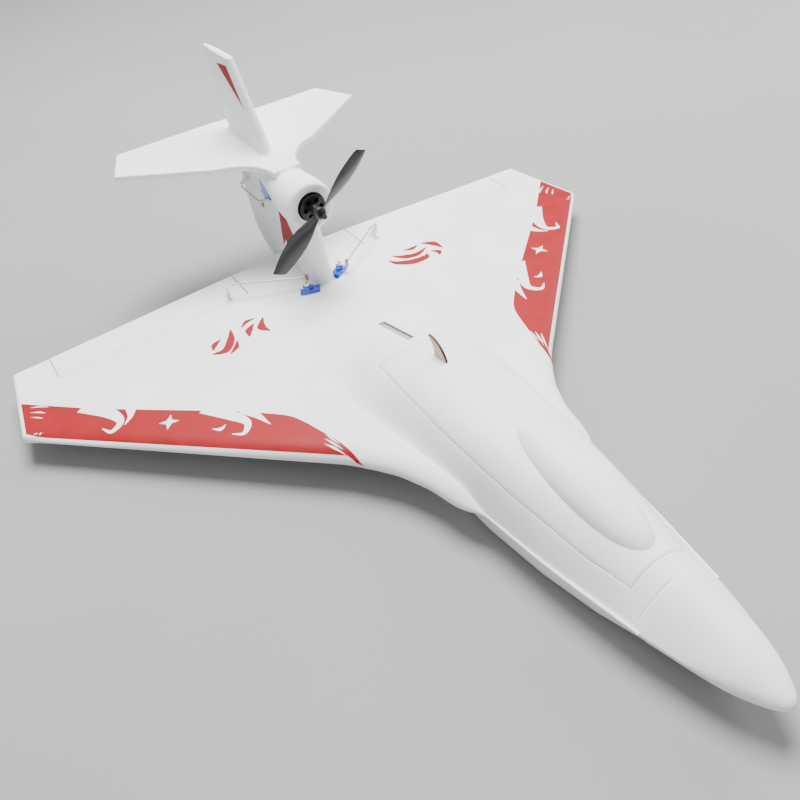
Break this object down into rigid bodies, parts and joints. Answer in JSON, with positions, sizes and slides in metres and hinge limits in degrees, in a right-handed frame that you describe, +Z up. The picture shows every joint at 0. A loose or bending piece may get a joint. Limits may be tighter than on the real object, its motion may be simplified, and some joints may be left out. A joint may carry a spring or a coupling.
{
  "type": "rc foam airplane",
  "caption": "White foam delta seaplane for radio control with a boat hull, lift-up canopy hatch, pylon motor and propeller, T-tail and servo-driven control surfaces.",
  "frame": {"origin": "on the flat planing bottom of the hull, on the plane of symmetry, under the middle of the airframe length", "axes": "+Z up, nose towards -Y, port wing towards +X"},
  "size_m": [0.864, 1.029, 0.322],
  "materials": {
    "foam": "moulded white foam with a fine bead texture",
    "plywood": "laser-cut plywood with dark burnt edges",
    "carbon": "pultruded carbon tube",
    "magnet": "plated disc magnet",
    "motor_black": "black anodised motor can",
    "steel": "steel",
    "copper_core": "wound motor core",
    "prop_black": "black moulded nylon, satin",
    "adapter": "black anodised aluminium",
    "servo_blue": "translucent blue servo case",
    "white_plastic": "white moulded nylon",
    "brass": "brass barrel",
    "battery_wrap": "dark shrink wrap",
    "strap": "woven hook-and-loop strap",
    "electronics": "dark heat shrink"
  },
  "bodies": {
    "airframe": {"hull": "foam", "deck": "foam", "port_wing": "foam", "starboard_wing": "foam", "nose_cone": "foam", "deck_magnets": "magnet", "pylon": "foam", "fin": "foam", "stabilizer": "foam", "wing_spar": "carbon", "stab_spar": "carbon", "motor_mount": "plywood", "mount_screws": "steel", "motor_stator": "copper_core", "battery_tray": "plywood", "battery": "battery_wrap", "battery_strap": "strap", "speed_controller": "electronics", "receiver": "electronics", "port_aileron_servo": "servo_blue", "starboard_aileron_servo": "servo_blue", "rudder_servo": "servo_blue", "elevator_servo": "servo_blue"},
    "hatch_lid": {"hatch": "foam", "latch_tab": "plywood", "hatch_magnets": "magnet"},
    "rotor": {"motor_bell": "motor_black", "prop_adapter": "adapter", "propeller": "prop_black", "prop_nut": "adapter"},
    "port_aileron_surface": {"port_aileron": "foam", "port_aileron_horn": "white_plastic"},
    "port_aileron_lever": {"port_aileron_servo_arm": "white_plastic", "port_aileron_arm_screw": "steel"},
    "port_aileron_link": {"port_aileron_pushrod": "steel", "port_aileron_rod_stopper": "brass"},
    "starboard_aileron_surface": {"starboard_aileron": "foam", "starboard_aileron_horn": "white_plastic"},
    "starboard_aileron_lever": {"starboard_aileron_servo_arm": "white_plastic", "starboard_aileron_arm_screw": "steel"},
    "starboard_aileron_link": {"starboard_aileron_pushrod": "steel", "starboard_aileron_rod_stopper": "brass"},
    "rudder_surface": {"rudder": "foam", "rudder_horn": "white_plastic"},
    "rudder_lever": {"rudder_servo_arm": "white_plastic", "rudder_arm_screw": "steel"},
    "rudder_link": {"rudder_pushrod": "steel", "rudder_rod_stopper": "brass"},
    "elevator_surface": {"elevator": "foam", "elevator_horn": "white_plastic"},
    "elevator_lever": {"elevator_servo_arm": "white_plastic", "elevator_arm_screw": "steel"},
    "elevator_link": {"elevator_pushrod": "steel", "elevator_rod_stopper": "brass"}
  },
  "joints": [
    {"name": "hatch_hinge", "type": "hinge", "parent": "airframe", "child": "hatch_lid", "pos_m": [0, -0.3744, 0.07887], "axis": [1, 0, 0], "range_deg": [0, 60]},
    {"name": "propeller_spin", "type": "hinge", "parent": "airframe", "child": "rotor", "pos_m": [0, 0.209, 0.173], "axis": [0, -1, 0], "continuous": true},
    {"name": "port_aileron_hinge", "type": "hinge", "parent": "airframe", "child": "port_aileron_surface", "pos_m": [0.0935, 0.294, 0.05239], "axis": [0.9985, 0.0331, -0.0425], "range_deg": [-20, 20]},
    {"name": "port_aileron_servo_shaft", "type": "hinge", "parent": "airframe", "child": "port_aileron_lever", "pos_m": [0.02893, 0.24569, 0.073], "axis": [0, 0, 1], "range_deg": [-23, 23]},
    {"name": "port_aileron_rod_pivot", "type": "hinge", "parent": "port_aileron_lever", "child": "port_aileron_link", "pos_m": [0.036, 0.236, 0.073], "axis": [0, 0, 1], "range_deg": [-19, 19]},
    {"name": "starboard_aileron_hinge", "type": "hinge", "parent": "airframe", "child": "starboard_aileron_surface", "pos_m": [-0.0935, 0.294, 0.05239], "axis": [0.9985, -0.0331, 0.0425], "range_deg": [-20, 20]},
    {"name": "starboard_aileron_servo_shaft", "type": "hinge", "parent": "airframe", "child": "starboard_aileron_lever", "pos_m": [-0.03059, 0.23046, 0.07289], "axis": [0, 0, 1], "range_deg": [-20, 20]},
    {"name": "starboard_aileron_rod_pivot", "type": "hinge", "parent": "starboard_aileron_lever", "child": "starboard_aileron_link", "pos_m": [-0.0245, 0.2408, 0.07289], "axis": [0, 0, 1], "range_deg": [-23, 23]},
    {"name": "rudder_hinge", "type": "hinge", "parent": "airframe", "child": "rudder_surface", "pos_m": [0, 0.406, 0.032], "axis": [0, 0.2297, 0.9733], "range_deg": [-25, 25]},
    {"name": "rudder_servo_shaft", "type": "hinge", "parent": "airframe", "child": "rudder_lever", "pos_m": [-0.008, 0.361, 0.1355], "axis": [0, 0, -1], "range_deg": [-41, 41]},
    {"name": "rudder_rod_pivot", "type": "hinge", "parent": "rudder_lever", "child": "rudder_link", "pos_m": [-0.02, 0.361, 0.1355], "axis": [0, 0, -1], "range_deg": [-41, 41]},
    {"name": "elevator_hinge", "type": "hinge", "parent": "airframe", "child": "elevator_surface", "pos_m": [0, 0.478, 0.208], "axis": [1, 0, 0], "range_deg": [-20, 20]},
    {"name": "elevator_servo_shaft", "type": "hinge", "parent": "airframe", "child": "elevator_lever", "pos_m": [0.00804, 0.36201, 0.1355], "axis": [0, 0, -1], "range_deg": [-35, 35]},
    {"name": "elevator_rod_pivot", "type": "hinge", "parent": "elevator_lever", "child": "elevator_link", "pos_m": [0.02, 0.361, 0.1355], "axis": [0, 0, -1], "range_deg": [-35, 35]}
  ],
  "couplings": [
    {"joint": "port_aileron_servo_shaft", "follows": "port_aileron_hinge", "ratio": -1.0726},
    {"joint": "port_aileron_rod_pivot", "follows": "port_aileron_hinge", "ratio": 0.88515},
    {"joint": "starboard_aileron_servo_shaft", "follows": "starboard_aileron_hinge", "ratio": -0.91168},
    {"joint": "starboard_aileron_rod_pivot", "follows": "starboard_aileron_hinge", "ratio": 1.0979},
    {"joint": "rudder_servo_shaft", "follows": "rudder_hinge", "ratio": -1.5897},
    {"joint": "rudder_rod_pivot", "follows": "rudder_hinge", "ratio": 1.5897},
    {"joint": "elevator_servo_shaft", "follows": "elevator_hinge", "ratio": -1.6977},
    {"joint": "elevator_rod_pivot", "follows": "elevator_hinge", "ratio": 1.6834}
  ]
}
